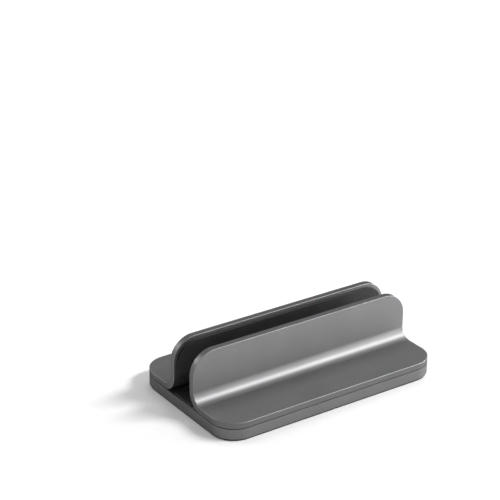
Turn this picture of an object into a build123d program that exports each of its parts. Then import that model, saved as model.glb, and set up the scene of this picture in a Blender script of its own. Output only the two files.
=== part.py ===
from build123d import *
import os

# Low desk stand with an upright slot between two bent plate brackets.
# The brackets slide on a flat base and are clamped to it from below.
# Millimetres. +Z is up, X runs along the slot and -Y is the front.
# The origin is on the table, under the middle of the base.

# Base plate
base_length = 176.0
base_depth = 106.6
base_thickness = 7.4
plan_corner_radius = 17.5  # shared by the base and the bracket feet
base_edge_break = 0.3

# Brackets, each one bent plate with a foot and a wall
plate_thickness = 4.7
bracket_depth = 43.8  # foot's outer edge to the wall's slot face
bracket_height = 40.1  # above the base
bend_radius = 8.0  # inside the bend
wall_corner_radius = 17.0
bracket_edge_break = 0.4

# Soft pads in the slot
wall_pad_thickness = 1.5
wall_pad_margin = 2.5
floor_pad_thickness = 1.2
floor_pad_width = 21.0
floor_pad_end_margin = 1.0
pad_edge_break = 0.4

# Rubber foot pads, one under each quarter of the base
foot_stand = 1.3  # how far the pads hold the base off the table
foot_inset = 0.6  # from the base's outline
foot_spacing = 0.4  # between neighbouring pads
foot_inner_radius = 0.5  # at all corners but the outer one
foot_opening_margin = 1.0  # round the screw slots
foot_edge_break = 0.3

# How far each bracket slides from flush with the base
travel_in = 1.0
travel_out = 12.0

# Clamp screws, two for each bracket
screw_spacing = 90.0
screw_setback = 23.0  # from the foot's outer edge
screw_diameter = 4.0
head_diameter = 7.0
head_height = 2.6
head_recess = 0.6  # above the underside of the base
head_edge_break = 0.3
socket_across_flats = 2.5
socket_depth = 1.5
washer_diameter = 9.0
washer_thickness = 0.8
washer_bore_clearance = 0.15
tapped_hole_roof = 1.0  # metal left over the blind hole
tapped_hole_clearance = 0.05
tapped_hole_tip_gap = 0.3

# Slots in the base that the screws slide along
slot_clearance = 0.4
counterbore_clearance = 0.5

# Levels and planes that the pieces share
base_top = foot_stand + base_thickness
plate_top = base_top + plate_thickness
wall_top = base_top + bracket_height
front_edge = -base_depth / 2
slot_face = front_edge + bracket_depth
wall_face = slot_face - plate_thickness
bend_outer_radius = bend_radius + plate_thickness
bend_top = base_top + bend_outer_radius
counterbore_radius = washer_diameter / 2 + counterbore_clearance
washer_level = foot_stand + head_recess + head_height
ledge_level = washer_level + washer_thickness
tapped_hole_end = plate_top - tapped_hole_roof
screw_y = front_edge + screw_setback
screw_places = [(-screw_spacing / 2, screw_y), (screw_spacing / 2, screw_y)]


def break_sharp_edges(solid, size):
    sharp = ShapeList()
    for edge in solid.edges():
        middle = edge @ 0.5
        sides = [face for face in solid.faces() if edge in face.edges()]
        normals = [face.normal_at(middle) for face in sides]
        if len(normals) == 2 and normals[0].get_angle(normals[1]) > 45:
            sharp.append(edge)
    return chamfer(sharp, size)


def at_height(shape, level):
    return Pos(0, 0, level) * shape


def to_rear(front_piece):
    return mirror(front_piece, about=Plane.XZ)


def to_right(left_piece):
    return mirror(left_piece, about=Plane.YZ)


def slot_cut(radius, bottom, height):
    # A round-ended slot that follows a screw over the bracket's whole travel
    run = travel_in + travel_out
    middle = screw_y + (travel_in - travel_out) / 2
    outline = SlotCenterToCenter(run, 2 * radius, rotation=90)
    return [
        Pos(x, middle, bottom) * extrude(outline, height)
        for x, _ in screw_places
    ]


def base_plate():
    outline = RectangleRounded(base_length, base_depth, plan_corner_radius)
    plate = break_sharp_edges(extrude(outline, base_thickness), base_edge_break)
    plate = at_height(plate, foot_stand)
    shank_radius = screw_diameter / 2 + slot_clearance
    cuts = slot_cut(shank_radius, foot_stand, base_thickness)
    cuts += slot_cut(counterbore_radius, foot_stand, ledge_level - foot_stand)
    cuts += [to_rear(cut) for cut in cuts]
    return plate - cuts


def bent_bracket():
    corners = [
        (front_edge, base_top),
        (slot_face, base_top),
        (slot_face, wall_top),
        (wall_face, wall_top),
        (wall_face, plate_top),
        (front_edge, plate_top),
    ]
    section = make_face(Polyline(*corners, close=True))
    inside = section.vertices().sort_by_distance((wall_face, plate_top))[0]
    section = fillet(inside, bend_radius)
    outside = section.vertices().sort_by_distance((slot_face, base_top))[0]
    section = fillet(outside, bend_outer_radius)
    plate = extrude(Plane.YZ * section, base_length / 2, both=True)
    wall_corners = plate.edges().filter_by(Axis.Y).group_by(Axis.Z)[-1]
    plate = fillet(wall_corners, wall_corner_radius)
    foot_corners = plate.edges().filter_by(Axis.Z).group_by(Axis.Y)[0]
    plate = fillet(foot_corners, plan_corner_radius)
    plate = break_sharp_edges(plate, bracket_edge_break)
    hole_radius = screw_diameter / 2 + tapped_hole_clearance
    hole = extrude(Circle(hole_radius), tapped_hole_end - base_top)
    return plate - [Pos(x, y, base_top) * hole for x, y in screw_places]


def wall_pad():
    # Follows the wall's outline, from the end of the bend to near its top
    width = base_length - 2 * wall_pad_margin
    height = wall_top - wall_pad_margin - bend_top
    outline = Rectangle(width, height, align=(Align.CENTER, Align.MIN))
    top_corners = outline.vertices().group_by(Axis.Y)[-1]
    outline = fillet(top_corners, wall_corner_radius - wall_pad_margin)
    wall_plane = Plane((0, slot_face, bend_top), x_dir=(-1, 0, 0), z_dir=(0, 1, 0))
    pad = extrude(outline, wall_pad_thickness)
    slot_side_edges = pad.faces().sort_by(Axis.Z)[-1].edges()
    return wall_plane * chamfer(slot_side_edges, pad_edge_break)


def slot_floor_pad():
    length = base_length - 2 * floor_pad_end_margin
    pad = extrude(Rectangle(length, floor_pad_width), floor_pad_thickness)
    top_edges = pad.faces().sort_by(Axis.Z)[-1].edges()
    return at_height(chamfer(top_edges, pad_edge_break), base_top)


def front_left_foot():
    # Follows the base's corner and leaves the screw slot open
    length = base_length / 2 - foot_inset - foot_spacing / 2
    depth = base_depth / 2 - foot_inset - foot_spacing / 2
    outline = Rectangle(length, depth, align=(Align.MIN, Align.MIN))
    corners = outline.vertices().sort_by_distance((0, 0))
    outline = fillet(corners[1:], foot_inner_radius)
    outer_corner = outline.vertices().sort_by_distance((0, 0))[0]
    outline = fillet(outer_corner, plan_corner_radius - foot_inset)
    pad = extrude(outline, foot_stand)
    pad = chamfer(pad.faces().sort_by(Axis.Z)[0].edges(), foot_edge_break)
    pad = Pos(foot_inset - base_length / 2, foot_inset + front_edge) * pad
    return pad - slot_cut(counterbore_radius + foot_opening_margin, 0, foot_stand)


def clamp_washer():
    ring = Circle(washer_diameter / 2) - Circle(screw_diameter / 2 + washer_bore_clearance)
    return at_height(extrude(ring, washer_thickness), washer_level)


def clamp_screw():
    shank_end = tapped_hole_end - tapped_hole_tip_gap
    head = extrude(Circle(head_diameter / 2), head_height)
    head = chamfer(head.faces().sort_by(Axis.Z)[0].edges(), head_edge_break)
    shank = extrude(Circle(screw_diameter / 2), shank_end - washer_level)
    hexagon = RegularPolygon(socket_across_flats / 2, 6, major_radius=False)
    socket = extrude(hexagon, socket_depth)
    screw = head + at_height(shank, head_height) - socket
    return at_height(screw, washer_level - head_height)


def at_screws(piece):
    return Compound([Pos(x, y, 0) * piece for x, y in screw_places])


front_pieces = {
    "bracket": bent_bracket(),
    "wall_pad": wall_pad(),
    "clamp_screws": at_screws(clamp_screw()),
    "clamp_washers": at_screws(clamp_washer()),
}

nodes = {
    "base_plate": base_plate(),
    "slot_floor_pad": slot_floor_pad(),
}
feet = {"left": front_left_foot(), "right": to_right(front_left_foot())}
for side, foot in feet.items():
    nodes["foot_front_" + side] = foot
    nodes["foot_rear_" + side] = to_rear(foot)
for name, piece in front_pieces.items():
    nodes["front_" + name] = piece
    nodes["rear_" + name] = to_rear(piece)

os.makedirs("parts", exist_ok=True)
for name, piece in nodes.items():
    export_step(piece, os.path.join("parts", name + ".step"))
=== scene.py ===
import math
import bpy
from mathutils import Matrix, Vector


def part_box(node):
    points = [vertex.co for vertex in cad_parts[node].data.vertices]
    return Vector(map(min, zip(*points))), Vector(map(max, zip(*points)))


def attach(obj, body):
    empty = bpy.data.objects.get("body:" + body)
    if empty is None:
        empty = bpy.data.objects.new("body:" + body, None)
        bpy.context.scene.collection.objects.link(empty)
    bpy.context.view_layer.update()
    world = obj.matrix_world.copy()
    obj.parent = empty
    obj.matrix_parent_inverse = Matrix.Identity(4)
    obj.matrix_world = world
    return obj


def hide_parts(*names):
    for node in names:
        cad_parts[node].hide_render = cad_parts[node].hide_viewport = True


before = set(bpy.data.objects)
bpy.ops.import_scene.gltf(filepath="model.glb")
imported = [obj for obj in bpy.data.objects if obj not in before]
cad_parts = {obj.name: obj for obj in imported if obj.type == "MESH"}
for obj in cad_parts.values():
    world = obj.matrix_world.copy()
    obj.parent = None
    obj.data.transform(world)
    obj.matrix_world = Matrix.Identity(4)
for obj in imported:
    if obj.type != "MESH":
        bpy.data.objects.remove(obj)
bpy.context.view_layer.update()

mm = 0.001
print("frame loaded, nodes:", len(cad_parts))

# Camera, set from the stand's own edges in the photograph
cameraView = {
    "place": (-0.63619, -0.86558, 0.58714),
    "yaw": 34.82,  # degrees, as pitch and roll are
    "pitch": 24.56,
    "roll": 0.63,
    "lens": 127.2,  # millimetres, as the sensor's width is
    "sensor": 36,
    "nearClip": 0.01,
}


def makeCamera():
    view = cameraView
    camera = bpy.data.objects.new("standCamera", bpy.data.cameras.new("standCamera"))
    bpy.context.scene.collection.objects.link(camera)
    camera.data.lens = view["lens"]
    camera.data.sensor_width = view["sensor"]
    camera.data.clip_start = view["nearClip"]
    turn = Matrix.Rotation(math.radians(-view["yaw"]), 4, "Z")
    turn = turn @ Matrix.Rotation(math.radians(90 - view["pitch"]), 4, "X")
    turn = turn @ Matrix.Rotation(math.radians(view["roll"]), 4, "Z")
    camera.matrix_world = Matrix.Translation(view["place"]) @ turn
    bpy.context.scene.camera = camera


makeCamera()
print("camera set")

# Node helpers for the finishes, the floor and the room
noiseRange = (0.3, 0.7)  # most of a noise lies between these


def addNode(tree, kind, **settings):
    node = tree.nodes.new(kind)
    for name, value in settings.items():
        setattr(node, name, value)
    return node


def remap(tree, source, fromRange, toRange):
    node = addNode(tree, "ShaderNodeMapRange")
    ends = ("From Min", "From Max", "To Min", "To Max")
    for name, value in zip(ends, (*fromRange, *toRange)):
        node.inputs[name].default_value = value
    tree.links.new(source, node.inputs["Value"])
    return node.outputs["Result"]


def combine(tree, operation, first, second):
    node = addNode(tree, "ShaderNodeMath", operation=operation)
    tree.links.new(first, node.inputs[0])
    tree.links.new(second, node.inputs[1])
    return node.outputs["Value"]


def blendColours(tree, factor, first, second, way="MIX"):
    # each colour is a fixed tone or what another node gives
    node = addNode(tree, "ShaderNodeMix", data_type="RGBA", blend_type=way)
    sockets = {socket.identifier: socket for socket in (*node.inputs, *node.outputs)}
    tree.links.new(factor, sockets["Factor_Float"])
    for name, colour in (("A_Color", first), ("B_Color", second)):
        if isinstance(colour, tuple):
            sockets[name].default_value = (*colour, 1)
        else:
            tree.links.new(colour, sockets[name])
    return sockets["Result_Color"]


def noiseAt(tree, place, perMetre, detail):
    node = addNode(tree, "ShaderNodeTexNoise")
    node.inputs["Scale"].default_value = perMetre
    node.inputs["Detail"].default_value = detail
    tree.links.new(place, node.inputs["Vector"])
    return node.outputs["Fac"]


def pointValue(tree, name):
    return addNode(tree, "ShaderNodeAttribute", attribute_name=name).outputs["Fac"]


# What the finishes share: a fine grain, and a broad cloud between two close tones
def startFinish(name):
    finish = bpy.data.materials.new(name)
    finish.use_nodes = True
    tree = finish.node_tree
    return finish, tree, tree.nodes["Principled BSDF"]


def grainAndCloud(tree, look):
    place = addNode(tree, "ShaderNodeTexCoord").outputs["Object"]
    grain = noiseAt(tree, place, look["grainPerMetre"], look["grainDetail"])
    cloud = noiseAt(tree, place, look["cloudPerMetre"], look["cloudDetail"])
    return grain, cloud


def cloudedTone(tree, look, cloud):
    share = remap(tree, cloud, noiseRange, (0, 1))
    return blendColours(tree, share, look["darkTone"], look["lightTone"])


def unevenGloss(tree, look, shader, noise):
    roughness = remap(tree, noise, noiseRange, (look["roughLow"], look["roughHigh"]))
    tree.links.new(roughness, shader.inputs["Roughness"])


def addBump(tree, look, shader, height):
    node = addNode(tree, "ShaderNodeBump")
    node.inputs["Strength"].default_value = look["bumpStrength"]
    node.inputs["Distance"].default_value = look["bumpDepth"]
    tree.links.new(height, node.inputs["Height"])
    tree.links.new(node.outputs["Normal"], shader.inputs["Normal"])


# Blasted and anodised plate, with a painted shade on its cut faces, and lighter along its rounded edges,
# which is partly edge wear and partly a painted highlight
aluminiumFinish = {
    "darkTone": (0.216, 0.216, 0.218),
    "lightTone": (0.238, 0.238, 0.24),
    "paintedShadeTone": (0.71, 0.71, 0.71),  # painted shade on the cut faces, multiplies the tone
    "edgeWearAndHighlightTone": (0.255, 0.255, 0.257),
    "metallic": 1.0,
    "grazeTint": (0.3, 0.3, 0.3),  # keeps grazing reflections dim
    "roughLow": 0.49,
    "roughHigh": 0.53,
    "grainPerMetre": 5200,
    "grainDetail": 3,
    "cloudPerMetre": 38,
    "cloudDetail": 3,
    "bumpStrength": 0.06,
    "bumpDepth": 0.02 * mm,
}


def makeAluminium():
    look = aluminiumFinish
    finish, tree, shader = startFinish("greyAluminium")
    grain, cloud = grainAndCloud(tree, look)
    tone = cloudedTone(tree, look, cloud)
    # painted shade: the cut faces are darkened
    tone = blendColours(tree, pointValue(tree, "paintedShadeMask"), tone, look["paintedShadeTone"], "MULTIPLY")
    # lighter along the rounds: partly edge wear, partly a painted highlight
    tone = blendColours(tree, pointValue(tree, "edgeWearAndHighlight"), tone, look["edgeWearAndHighlightTone"])
    tree.links.new(tone, shader.inputs["Base Color"])
    unevenGloss(tree, look, shader, grain)
    addBump(tree, look, shader, grain)
    shader.inputs["Metallic"].default_value = look["metallic"]
    shader.inputs["Specular Tint"].default_value = (*look["grazeTint"], 1)
    return finish


# Soft finishes, silicone in the slot and rubber under the base
siliconeFinish = {
    "darkTone": (0.016, 0.016, 0.017),
    "lightTone": (0.024, 0.024, 0.025),
    "specular": 0.35,
    "roughLow": 0.55,
    "roughHigh": 0.72,
    "grainPerMetre": 3200,
    "grainDetail": 4,
    "cloudPerMetre": 55,
    "cloudDetail": 3,
    "bumpStrength": 0.25,
    "bumpDepth": 0.05 * mm,
}

rubberFinish = {
    "darkTone": (0.022, 0.022, 0.022),
    "lightTone": (0.034, 0.034, 0.034),
    "specular": 0.35,
    "roughLow": 0.62,
    "roughHigh": 0.8,
    "grainPerMetre": 2200,
    "grainDetail": 4,
    "cloudPerMetre": 90,
    "cloudDetail": 3,
    "bumpStrength": 0.25,
    "bumpDepth": 0.05 * mm,
}


def makeSoft(name, look):
    finish, tree, shader = startFinish(name)
    grain, cloud = grainAndCloud(tree, look)
    tree.links.new(cloudedTone(tree, look, cloud), shader.inputs["Base Color"])
    unevenGloss(tree, look, shader, cloud)
    addBump(tree, look, shader, grain)
    shader.inputs["Specular IOR Level"].default_value = look["specular"]
    return finish


# Bright steel of the screws and washers
steelFinish = {
    "darkTone": (0.44, 0.44, 0.45),
    "lightTone": (0.56, 0.56, 0.565),
    "metallic": 1.0,
    "roughLow": 0.22,
    "roughHigh": 0.38,
    "grainPerMetre": 2600,
    "grainDetail": 3,
    "cloudPerMetre": 160,
    "cloudDetail": 4,
    "bumpStrength": 0.12,
    "bumpDepth": 0.02 * mm,
}


def makeSteel():
    look = steelFinish
    finish, tree, shader = startFinish("screwSteel")
    grain, cloud = grainAndCloud(tree, look)
    tree.links.new(cloudedTone(tree, look, cloud), shader.inputs["Base Color"])
    unevenGloss(tree, look, shader, cloud)
    addBump(tree, look, shader, grain)
    shader.inputs["Metallic"].default_value = look["metallic"]
    return finish


greyAluminium = makeAluminium()
darkSilicone = makeSoft("darkSilicone", siliconeFinish)
footRubber = makeSoft("footRubber", rubberFinish)
screwSteel = makeSteel()
print("finishes made")


# What every piece is made and handed over with
def addPiece(name, points, faces):
    mesh = bpy.data.meshes.new(name)
    mesh.from_pydata(points, [], faces)
    piece = bpy.data.objects.new(name, mesh)
    bpy.context.scene.collection.objects.link(piece)
    return piece


def dress(piece, finish, body, node):
    piece.data.materials.clear()
    piece.data.materials.append(finish)
    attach(piece, body)
    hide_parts(node)


def arcDirections(first, last, steps):
    # unit directions from one angle to another, both counted in right angles
    angles = [math.pi / 2 * (first + (last - first) * k / steps) for k in range(steps + 1)]
    return [(math.cos(angle), math.sin(angle)) for angle in angles]


def fullTurn(steps):
    return arcDirections(0, 4, steps)[:-1]  # its last direction is its first again


# A sheet is drawn flat in u (across), s (along) and n (through its thickness),
# and a place function then lays each point where it belongs
sheetSteps = {
    "rim": 5,
    "corner": 18,
}


def roundOver(radius, steps):
    # inset, drop and direction of each row, from a flat side to the rim
    directions = arcDirections(0, 1, steps)
    return [(radius * (1 - out), radius * (1 - up), out, up) for up, out in directions]


def upperRim(thickness, radius):
    rows = roundOver(radius, sheetSteps["rim"])
    return [(inset, thickness / 2 - drop, out, up) for inset, drop, out, up in rows]


def lowerRim(level, radius, steps):
    rows = reversed(roundOver(radius, steps))
    return [(inset, level + drop, out, -up) for inset, drop, out, up in rows]


def withPaintedShade(rows, paintedShadeDepth):
    # adds how far the painted shade of the cut faces shows on each row
    return [(inset, n, out, up, paintedShadeDepth * out ** 2) for inset, n, out, up in rows]


def plainRim(thickness, upperRound, lowerRound, paintedShadeDepth=0):
    lower = lowerRim(-thickness / 2, lowerRound, sheetSteps["rim"])
    return withPaintedShade(upperRim(thickness, upperRound) + lower, paintedShadeDepth)


def shadowRim(thickness, upperRound, gap, depth, paintedShadeDepth):
    # stepped back along the lower edge, in as many rows as a plain rim
    level = gap - thickness / 2
    recess = [(depth, level, 0, -1), (depth, level - gap / 2, 1, 0), (depth, -thickness / 2, 0, -1)]
    lip = lowerRim(level, gap / 2, sheetSteps["rim"] - len(recess))
    return withPaintedShade(upperRim(thickness, upperRound) + lip + recess, paintedShadeDepth)


def fade(first, second, share):
    # from the first rim's rows to the second's
    return [tuple(a + (b - a) * share for a, b in zip(p, q)) for p, q in zip(first, second)]


def halfOutline(width, length, startCorner, endCorner, stations=()):
    # the right half, with the way out at each point
    half, steps = width / 2, sheetSteps["corner"]
    points = []
    for out, along in arcDirections(-1, 0, steps):
        points.append((half - startCorner * (1 - out), startCorner * (1 + along), out, along))
    points += [(half, s, 1, 0) for s in stations]
    for out, along in arcDirections(0, 1, steps):
        points.append((half - endCorner * (1 - out), length - endCorner * (1 - along), out, along))
    return points


def sheetFaces(half, rowCount):
    # bands round the rim, and strips across the two flat sides
    count = 2 * half
    last = (rowCount - 1) * count
    faces = []
    for upper in range(0, last, count):
        lower = upper + count
        for j in range(count):
            after = (j + 1) % count
            faces.append((upper + j, lower + j, lower + after, upper + after))
    for j in range(half - 1):
        far, farNext = count - 1 - j, count - 2 - j
        faces.append((j, j + 1, farNext, far))
        faces.append((last + far, last + farNext, last + j + 1, last + j))
    return faces


def makeSheet(name, outline, rimAt, place):
    loop = outline + [(-u, s, -out, along) for u, s, out, along in reversed(outline)]
    rims = [rimAt(s) for u, s, out, along in loop]
    rowCount = len(rims[0])
    points, normals, wearAndHighlight, cut = [], [], [], []
    for k in range(rowCount):
        for (u, s, out, along), rim in zip(loop, rims):
            inset, n, rimOut, rimUp, rimPaintedShade = rim[k]
            point, alongWay, upWay = place(u - inset * out, s - inset * along, n)
            acrossWay = alongWay.cross(upWay)
            normal = rimOut * (out * acrossWay + along * alongWay) + rimUp * upWay
            points.append(point)
            normals.append(normal.normalized())
            wearAndHighlight.append(2 * rimOut * abs(rimUp))  # edge wear and painted highlight, most at the middle of a round
            # painted shade on the cut faces
            cut.append(rimPaintedShade)
    piece = addPiece(name, points, sheetFaces(len(outline), rowCount))
    mesh = piece.data
    mesh.shade_smooth()
    mesh.normals_split_custom_set_from_vertices(normals)
    # edge wear and painted highlight along the rounds, as a point attribute
    mesh.attributes.new("edgeWearAndHighlight", "FLOAT", "POINT").data.foreach_set("value", wearAndHighlight)
    # painted shade on the cut faces, as a point attribute
    mesh.attributes.new("paintedShadeMask", "FLOAT", "POINT").data.foreach_set("value", cut)
    return piece


def levelSheet(name, low, high, corner, rim):
    middle = (low.z + high.z) / 2

    def layOut(u, s, n):
        return Vector((u, low.y + s, middle + n)), Vector((0, 1, 0)), Vector((0, 0, 1))

    outline = halfOutline(high.x - low.x, high.y - low.y, corner, corner)
    return makeSheet(name, outline, lambda s: rim, layOut)


def onSide(side, vectors):
    # the rear bracket and its pad are the front ones turned half round
    if side == "front":
        return vectors
    return [Vector((-v.x, -v.y, v.z)) for v in vectors]


planCorner = 17.5 * mm  # shared by the base and the brackets' feet

# Brackets, one bent plate each
bracketShape = {
    "plate": 4.7 * mm,
    "bendInside": 8.0 * mm,
    "bendSteps": 36,
    "wallCorner": 17.0 * mm,
    "outerEdge": 0.36 * mm,
    "slotEdge": 0.36 * mm,
    "seamGap": 0.42 * mm,  # the dark line between foot and base
    "seamDepth": 1.5 * mm,
    "seamFade": 1 / 3,  # the share of the bend in which the gap closes
    "wallPaintedShade": 0.62,  # how far the painted shade on the cut faces shows
    "footPaintedShade": 1.0,
}


def makeBracket(side):
    shape = bracketShape
    low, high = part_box("front_bracket")
    plate = shape["plate"]
    outer = shape["bendInside"] + plate
    middle = shape["bendInside"] + plate / 2
    bendY, bendZ = high.y - outer, low.z + outer  # the bend's centre
    footRun = bendY - low.y
    bendRun = middle * math.pi / 2
    wallRun = high.z - bendZ

    def layOut(u, s, n):
        past = s - footRun
        angle = min(max(past / middle, 0), math.pi / 2)
        straight = min(past, 0) + max(past - bendRun, 0)  # along the foot or the wall
        reach = middle - n
        rise, run = math.sin(angle), math.cos(angle)
        y = bendY + reach * rise + straight * run
        z = bendZ - reach * run + straight * rise
        return onSide(side, (Vector((u, y, z)), Vector((0, run, rise)), Vector((0, -rise, run))))

    wallRim = plainRim(plate, shape["outerEdge"], shape["slotEdge"], shape["wallPaintedShade"])
    footRim = shadowRim(plate, shape["outerEdge"], shape["seamGap"], shape["seamDepth"], shape["footPaintedShade"])
    fadeRun = bendRun * shape["seamFade"]

    def rimAt(s):
        share = (footRun + fadeRun - s) / fadeRun
        return fade(wallRim, footRim, min(1, max(0, share)))

    steps = shape["bendSteps"]
    stations = [footRun + bendRun * k / steps for k in range(steps + 1)]
    length = footRun + bendRun + wallRun
    outline = halfOutline(high.x - low.x, length, planCorner, shape["wallCorner"], stations)
    piece = makeSheet(side + "BentPlate", outline, rimAt, layOut)
    dress(piece, greyAluminium, side + "_slider", side + "_bracket")


for side in ("front", "rear"):
    makeBracket(side)
print("brackets bent")

# Cutting and smoothing of the pieces that have openings
smoothing = {
    "sharpAngle": math.radians(40),
    "roundSteps": 4,
    "faceWeight": 100,  # wide flat faces stay flat right up to their rims
}
cutPast = 1 * mm  # how far a cutter stands out of the face that it opens


def prism(name, outline, low, high):
    count = len(outline)
    points = [(x, y, z) for z in (low, high) for x, y in outline]
    faces = [tuple(reversed(range(count))), tuple(range(count, 2 * count))]
    for j in range(count):
        after = (j + 1) % count
        faces.append((j, after, count + after, count + j))
    return addPiece(name, points, faces)


def settle(piece):
    # keeps the mesh that the modifiers give
    bpy.context.view_layer.update()
    made = bpy.data.meshes.new_from_object(piece.evaluated_get(bpy.context.evaluated_depsgraph_get()))
    old = piece.data
    piece.modifiers.clear()
    piece.data = made
    made.name = piece.name
    bpy.data.meshes.remove(old)


def cutAway(piece, cutters):
    for cutter in cutters:
        cut = piece.modifiers.new(cutter.name, "BOOLEAN")
        cut.operation = "DIFFERENCE"
        cut.solver = "EXACT"
        cut.object = cutter
    settle(piece)
    for cutter in cutters:
        bpy.data.objects.remove(cutter)


def smoothOut(piece, edgeRound=0):
    if edgeRound:
        edges = piece.modifiers.new("edgeRound", "BEVEL")
        edges.width = edgeRound
        edges.segments = smoothing["roundSteps"]
        edges.limit_method = "ANGLE"
        edges.angle_limit = smoothing["sharpAngle"]
        settle(piece)
    piece.data.shade_smooth()
    piece.data.set_sharp_from_angle(angle=smoothing["sharpAngle"])
    weighted = piece.modifiers.new("flatFaces", "WEIGHTED_NORMAL")
    weighted.keep_sharp = True
    weighted.weight = smoothing["faceWeight"]
    settle(piece)


# Base plate, with the screws' slots and their wider bores cut from below
baseShape = {
    "upperEdge": 0.04 * mm,
    "lowerEdge": 0.25 * mm,
    # share of the painted shade on the cut faces
    "paintedShadeDepth": 0.62,
    "slotWidth": 4.8 * mm,
    "boreWidth": 10.0 * mm,
    "boreDepth": 4.0 * mm,
    "slotSteps": 24,
    "travelIn": 1.0 * mm,
    "travelOut": 12.0 * mm,
}


def screwAxes(side):
    low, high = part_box(side + "_clamp_screws")
    radius = (high.y - low.y) / 2
    return [(low.x + radius, low.y + radius), (high.x - radius, low.y + radius)]


def slotRuns(side):
    # where each screw's slot lies across, and its ends along
    outward = {"front": -1, "rear": 1}[side]
    runs = []
    for x, y in screwAxes(side):
        ends = sorted((y - outward * baseShape["travelIn"], y + outward * baseShape["travelOut"]))
        runs.append((x, *ends))
    return runs


def roundEndedSlot(x, firstY, lastY, width):
    radius = width / 2
    outline = []
    for centre, first in ((lastY, 0), (firstY, 2)):
        for across, along in arcDirections(first, first + 2, baseShape["slotSteps"]):
            outline.append((x + radius * across, centre + radius * along))
    return outline


def makeBase():
    shape = baseShape
    low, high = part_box("base_plate")
    rim = plainRim(high.z - low.z, shape["upperEdge"], shape["lowerEdge"], shape["paintedShadeDepth"])
    piece = levelSheet("baseSlab", low, high, planCorner, rim)
    below = low.z - cutPast
    cutters = []
    for run in slotRuns("front") + slotRuns("rear"):
        slot = roundEndedSlot(*run, shape["slotWidth"])
        bore = roundEndedSlot(*run, shape["boreWidth"])
        cutters.append(prism("slotCut", slot, below, high.z + cutPast))
        cutters.append(prism("boreCut", bore, below, low.z + shape["boreDepth"]))
    cutAway(piece, cutters)
    smoothOut(piece)
    dress(piece, greyAluminium, "base", "base_plate")


makeBase()
print("base cut")

# Soft pads in the slot
padShape = {
    "wallMargin": 2.5 * mm,  # inside the wall's outline
    "smallCorner": 0.8 * mm,
    "edgeRound": 0.4 * mm,
    "seatRound": 0.08 * mm,
}


def makeWallPad(side):
    shape = padShape
    low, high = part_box("front_wall_pad")
    middle = (low.y + high.y) / 2

    def layOut(u, s, n):
        point = Vector((-u, middle + n, low.z + s))
        return onSide(side, (point, Vector((0, 0, 1)), Vector((0, 1, 0))))

    corner = bracketShape["wallCorner"] - shape["wallMargin"]
    outline = halfOutline(high.x - low.x, high.z - low.z, shape["smallCorner"], corner)
    rim = plainRim(high.y - low.y, shape["edgeRound"], shape["seatRound"])
    piece = makeSheet(side + "WallPad", outline, lambda s: rim, layOut)
    dress(piece, darkSilicone, side + "_slider", side + "_wall_pad")


def makeFloorPad():
    shape = padShape
    low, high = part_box("slot_floor_pad")
    rim = plainRim(high.z - low.z, shape["edgeRound"], shape["seatRound"])
    piece = levelSheet("slotFloorPad", low, high, shape["smallCorner"], rim)
    dress(piece, darkSilicone, "base", "slot_floor_pad")


for side in ("front", "rear"):
    makeWallPad(side)
makeFloorPad()
print("pads laid")

# Rubber foot pads, one under each quarter of the base
footShape = {
    "inset": 0.6 * mm,  # inside the base's outline
    "innerCorner": 0.5 * mm,
    "cornerSteps": 20,
    "openingMargin": 1.0 * mm,  # round the base's bores
    "rimRound": 0.28 * mm,
}
footOrder = (("front", "left"), ("front", "right"), ("rear", "right"), ("rear", "left"))


def roundCornered(low, high, radii):
    # the corners in turn, from the lowest x and y against the clock, each with its way inside
    corners = (
        (low.x, low.y, 1, 1),
        (high.x, low.y, -1, 1),
        (high.x, high.y, -1, -1),
        (low.x, high.y, 1, -1),
    )
    points = []
    for k, (x, y, inX, inY) in enumerate(corners):
        for across, along in arcDirections(2 + k, 3 + k, footShape["cornerSteps"]):
            points.append((x + radii[k] * (inX + across), y + radii[k] * (inY + along)))
    return points


def makeFoot(side, end, outerCorner):
    shape = footShape
    node = "foot_" + side + "_" + end
    low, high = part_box(node)
    radii = [shape["innerCorner"]] * 4
    radii[outerCorner] = planCorner - shape["inset"]
    piece = prism(side + end.capitalize() + "Foot", roundCornered(low, high, radii), low.z, high.z)
    run = slotRuns(side)[0 if end == "left" else 1]
    opening = roundEndedSlot(*run, baseShape["boreWidth"] + 2 * shape["openingMargin"])
    cutAway(piece, [prism("footOpening", opening, low.z - cutPast, high.z + cutPast)])
    smoothOut(piece, shape["rimRound"])
    dress(piece, footRubber, "base", node)


for outerCorner, (side, end) in enumerate(footOrder):
    makeFoot(side, end, outerCorner)
print("feet laid")

# Clamp screws and their washers, two of each for a bracket
screwShape = {
    "headHeight": 2.6 * mm,
    "headRound": 0.35 * mm,
    "shankWidth": 4.0 * mm,
    "tipBevel": 0.5 * mm,
    "socketWidth": 2.5 * mm,
    "socketDepth": 1.5 * mm,
    "washerBore": 4.3 * mm,
    "washerRound": 0.12 * mm,
    "turnSteps": 64,
    "edgeSteps": 5,
}


def spin(name, profile, centres, ring):
    # turns a profile of radius and height round each centre, closed to a ring or capped
    directions = fullTurn(screwShape["turnSteps"])
    steps, count = len(directions), len(profile)
    points, faces = [], []
    for x, y in centres:
        start = len(points)
        last = start + (count - 1) * steps
        for radius, level in profile:
            points += [(x + radius * across, y + radius * along, level) for across, along in directions]
        for i in range(count if ring else count - 1):
            lower, upper = start + i * steps, start + (i + 1) % count * steps
            for k in range(steps):
                after = (k + 1) % steps
                faces.append((lower + k, lower + after, upper + after, upper + k))
        if not ring:
            faces.append(tuple(reversed(range(start, start + steps))))
            faces.append(tuple(range(last, last + steps)))
    return addPiece(name, points, faces)


def quarterRound(centreR, centreZ, radius, first):
    directions = arcDirections(first, first + 1, screwShape["edgeSteps"])
    return [(centreR + radius * out, centreZ + radius * up) for out, up in directions]


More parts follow.
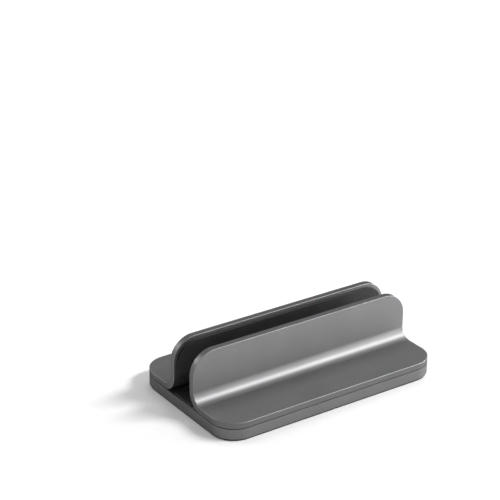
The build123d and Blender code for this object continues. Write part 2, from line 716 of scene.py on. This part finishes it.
def makeScrews(side):
    shape = screwShape
    low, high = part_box(side + "_clamp_screws")
    head = (high.y - low.y) / 2
    shank = shape["shankWidth"] / 2
    seat = low.z + shape["headHeight"]
    edge, tip = shape["headRound"], shape["tipBevel"]
    profile = quarterRound(head - edge, low.z + edge, edge, 3)
    profile += [(head, seat), (shank, seat), (shank, high.z - tip), (shank - tip, high.z)]
    piece = spin(side + "ClampScrews", profile, screwAxes(side), False)
    reach = shape["socketWidth"] / math.sqrt(3)  # from the socket's middle to its corners
    cutters = []
    for x, y in screwAxes(side):
        hexagon = [(x + reach * across, y + reach * along) for across, along in fullTurn(6)]
        cutters.append(prism("socketCut", hexagon, low.z - cutPast, low.z + shape["socketDepth"]))
    cutAway(piece, cutters)
    smoothOut(piece)
    dress(piece, screwSteel, side + "_slider", side + "_clamp_screws")


def makeWashers(side):
    shape = screwShape
    low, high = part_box(side + "_clamp_washers")
    outer = (high.y - low.y) / 2
    inner = shape["washerBore"] / 2
    edge = shape["washerRound"]
    profile = quarterRound(outer - edge, low.z + edge, edge, 3)
    profile += quarterRound(outer - edge, high.z - edge, edge, 0)
    profile += [(inner, high.z), (inner, low.z)]
    piece = spin(side + "ClampWashers", profile, screwAxes(side), True)
    smoothOut(piece)
    dress(piece, screwSteel, side + "_slider", side + "_clamp_washers")


for side in ("front", "rear"):
    makeScrews(side)
    makeWashers(side)
print("fasteners made")

# Floor, room and lamps
studio = {
    "floorTone": (0.85, 0.85, 0.85),
    "floorReach": 6.0,
    "nearGlow": 0.12,
    "farGlow": 0.8,
    "glowFrom": 0.8,  # metres from the stand
    "glowTo": 3.5,
    "roomTone": (1, 1, 1),
    "brightSide": (0.93, 0.37, 0),  # the room dims evenly from this side to the other
    "brightLevel": 0.62,
    "dimLevel": 0.08,
}

# Each lamp lies off the origin in a direction, with its long side across
lamps = {
    "key": {
        "direction": (0.533, -0.467, 0.705),
        "across": (0.754, 0.485, -0.448),
        "distance": 3.0,
        "size": (1.33, 0.33),
        "power": 70.0,
    },
    "side": {
        "direction": (0.96, -0.28, 0.05),
        "across": (0.28, 0.96, 0),
        "distance": 2.0,
        "size": (1.5, 0.3),
        "power": 82.0,
    },
    "top": {
        "direction": (0.3, 0.36, 0.88),
        "across": (1, 0, 0),
        "distance": 1.5,
        "size": (0.6, 0.4),
        "power": 2.25,
    },
    "back": {
        "direction": (-0.55, 0.7, 0.45),
        "across": (0.786, 0.618, 0),
        "distance": 3.0,
        "size": (1.3, 0.4),
        "power": 24.0,
    },
}


def whereSeen(tree):
    # 1 on rays from the camera, from metal and through clear things
    path = addNode(tree, "ShaderNodeLightPath")
    seen = path.outputs["Is Camera Ray"]
    for name in ("Is Glossy Ray", "Is Transmission Ray"):
        seen = combine(tree, "MAXIMUM", seen, path.outputs[name])
    return seen


def glowByReach(tree):
    # the lamps fade over the far floor, so its own glow grows there
    place = addNode(tree, "ShaderNodeTexCoord")
    reach = addNode(tree, "ShaderNodeVectorMath", operation="LENGTH")
    tree.links.new(place.outputs["Object"], reach.inputs[0])
    fromRange = (studio["glowFrom"], studio["glowTo"])
    toRange = (studio["nearGlow"], studio["farGlow"])
    return remap(tree, reach.outputs["Value"], fromRange, toRange)


def makeFloor():
    reach = studio["floorReach"]
    corners = [(-reach, -reach, 0), (reach, -reach, 0), (reach, reach, 0), (-reach, reach, 0)]
    floor = addPiece("paleFloor", corners, [(0, 1, 2, 3)])
    finish = bpy.data.materials.new("paleFloor")
    finish.use_nodes = True
    tree = finish.node_tree
    tree.nodes.clear()
    matt = addNode(tree, "ShaderNodeBsdfDiffuse")
    matt.inputs["Color"].default_value = (*studio["floorTone"], 1)
    glow = addNode(tree, "ShaderNodeEmission")
    strength = combine(tree, "MULTIPLY", whereSeen(tree), glowByReach(tree))
    tree.links.new(strength, glow.inputs["Strength"])
    both = addNode(tree, "ShaderNodeAddShader")
    tree.links.new(matt.outputs["BSDF"], both.inputs[0])
    tree.links.new(glow.outputs["Emission"], both.inputs[1])
    out = addNode(tree, "ShaderNodeOutputMaterial")
    tree.links.new(both.outputs["Shader"], out.inputs["Surface"])
    floor.data.materials.append(finish)


def makeRoom():
    room = bpy.data.worlds.new("paleRoom")
    bpy.context.scene.world = room
    room.use_nodes = True
    tree = room.node_tree
    back = tree.nodes["Background"]
    back.inputs["Color"].default_value = (*studio["roomTone"], 1)
    facing = addNode(tree, "ShaderNodeTexCoord")
    along = addNode(tree, "ShaderNodeVectorMath", operation="DOT_PRODUCT")
    along.inputs[1].default_value = Vector(studio["brightSide"]).normalized()
    tree.links.new(facing.outputs["Generated"], along.inputs[0])
    level = remap(tree, along.outputs["Value"], (-1, 1), (studio["dimLevel"], studio["brightLevel"]))
    tree.links.new(level, back.inputs["Strength"])


def makeLamp(name, shape):
    lamp = bpy.data.lights.new(name + "Lamp", "AREA")
    lamp.shape = "RECTANGLE"
    lamp.size, lamp.size_y = shape["size"]
    lamp.energy = shape["power"]
    holder = bpy.data.objects.new(name + "Lamp", lamp)
    bpy.context.scene.collection.objects.link(holder)
    away = Vector(shape["direction"]).normalized()
    up = away.cross(Vector(shape["across"])).normalized()
    across = up.cross(away)
    turn = Matrix((across, up, away)).transposed().to_4x4()
    holder.matrix_world = Matrix.Translation(away * shape["distance"]) @ turn
    holder.visible_camera = False


makeFloor()
makeRoom()
for name, shape in lamps.items():
    makeLamp(name, shape)
bpy.context.scene.view_settings.view_transform = "Standard"
print("studio lit")
